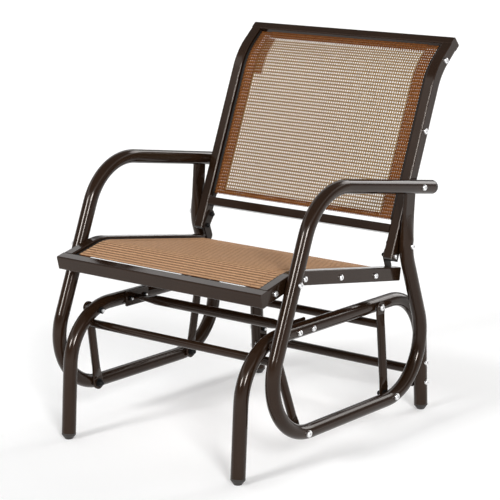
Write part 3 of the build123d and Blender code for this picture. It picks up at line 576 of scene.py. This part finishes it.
sling(
    "seat",
    SidePath(face_line("seat_sling", SEAT_FACING), SEAT_BEND_R),
    cloth=(SEAT_PITCH, SEAT_WAVE, SEAT_WARP_DROP),
    yarns=(SEAT_YARN, SEAT_HEM_YARN),
    depth=SEAT_SLEEVE_DEPTH,
    gap=SEAT_FRONT_GAP,
    end_hems=(0.0, BOTTOM_HEM),
)
sling(
    "back",
    SidePath(face_line("back_sling", BACK_FACING), BACK_BEND_R),
    cloth=(BACK_PITCH, BACK_WAVE, BACK_WARP_DROP),
    yarns=(BACK_YARN, BACK_HEM_YARN),
    depth=BACK_SLEEVE_DEPTH,
    gap=0.0,
    end_hems=(BOTTOM_HEM, TOP_HEM),
)


# Floor, surroundings and lamps
def direction(azimuth, elevation):
    """Unit vector from the chair: azimuth from its front towards its right."""
    a = math.radians(azimuth)
    e = math.radians(elevation)
    return Vector((math.sin(a) * math.cos(e), -math.cos(a) * math.cos(e), math.sin(e)))


def white_floor():
    """White floor that keeps the chair's soft shadow."""
    half = FLOOR_HALF * MM
    corners = [(-half, -half, 0), (half, -half, 0), (half, half, 0), (-half, half, 0)]
    mesh = bpy.data.meshes.new("floor")
    mesh.from_pydata(corners, [], [(0, 1, 2, 3)])
    floor = bpy.data.objects.new("floor", mesh)
    bpy.context.scene.collection.objects.link(floor)
    material = bpy.data.materials.new("floor_white")
    material.use_nodes = True
    tree = material.node_tree
    tree.nodes.clear()
    output = tree.nodes.new("ShaderNodeOutputMaterial")
    diffuse = tree.nodes.new("ShaderNodeBsdfDiffuse")
    diffuse.inputs["Color"].default_value = FLOOR_COLOR
    glow = tree.nodes.new("ShaderNodeEmission")
    glow.inputs["Color"].default_value = FLOOR_GLOW
    both = tree.nodes.new("ShaderNodeAddShader")
    tree.links.new(diffuse.outputs["BSDF"], both.inputs[0])
    tree.links.new(glow.outputs["Emission"], both.inputs[1])
    tree.links.new(both.outputs["Shader"], output.inputs["Surface"])
    mesh.materials.append(material)


def surroundings():
    """White walls round the chair, with a ring of soft light under a dimmer ceiling."""
    world = bpy.data.worlds.new("studio")
    bpy.context.scene.world = world
    world.use_nodes = True
    tree = world.node_tree
    tree.nodes.clear()
    output = tree.nodes.new("ShaderNodeOutputWorld")
    room = tree.nodes.new("ShaderNodeBackground")
    coords = tree.nodes.new("ShaderNodeTexCoord")
    split = tree.nodes.new("ShaderNodeSeparateXYZ")
    tree.links.new(coords.outputs["Generated"], split.inputs["Vector"])
    bands = [(height, (level, level, level)) for height, level in ROOM_BANDS]
    tree.links.new(ramp(tree, split.outputs["Z"], bands), room.inputs["Color"])
    room.inputs["Strength"].default_value = ROOM_STRENGTH
    tree.links.new(room.outputs["Background"], output.inputs["Surface"])


def soft_light(name, azimuth, elevation, width, strength):
    """Far round softbox that shines on the chair."""
    data = bpy.data.lights.new(name, "SUN")
    data.angle = math.radians(width)
    data.energy = strength
    lamp = bpy.data.objects.new(name, data)
    offset = direction(azimuth, elevation)
    lamp.location = offset * LAMP_DISTANCE * MM
    lamp.rotation_euler = offset.to_track_quat("Z", "Y").to_euler()
    bpy.context.scene.collection.objects.link(lamp)


white_floor()
surroundings()
for name, setting in LAMPS.items():
    soft_light(name, *setting)


# Camera
def photo_camera():
    """Camera that sees the chair as the photo does."""
    back = direction(CAM_AZIMUTH, CAM_ELEVATION)
    level = direction(CAM_AZIMUTH + 90, 0.0)
    upright = back.cross(level)
    roll = math.radians(CAM_ROLL)
    right = level * math.cos(roll) + upright * math.sin(roll)
    up = upright * math.cos(roll) - level * math.sin(roll)
    aim = level * CAM_AIM_RIGHT + Vector((0.0, CAM_SHIFT_Y, CAM_AIM_Z))
    place = (aim + back * CAM_DISTANCE) * MM
    data = bpy.data.cameras.new("camera")
    data.sensor_width = CAM_SENSOR
    data.lens = CAM_LENS
    data.clip_end = CAM_CLIP_END * MM
    data.dof.use_dof = False
    camera = bpy.data.objects.new("camera", data)
    turn = Matrix((right, up, back)).transposed().to_4x4()
    camera.matrix_world = Matrix.Translation(place) @ turn
    bpy.context.scene.collection.objects.link(camera)
    bpy.context.scene.camera = camera


photo_camera()
bpy.context.scene.view_settings.view_transform = "Standard"
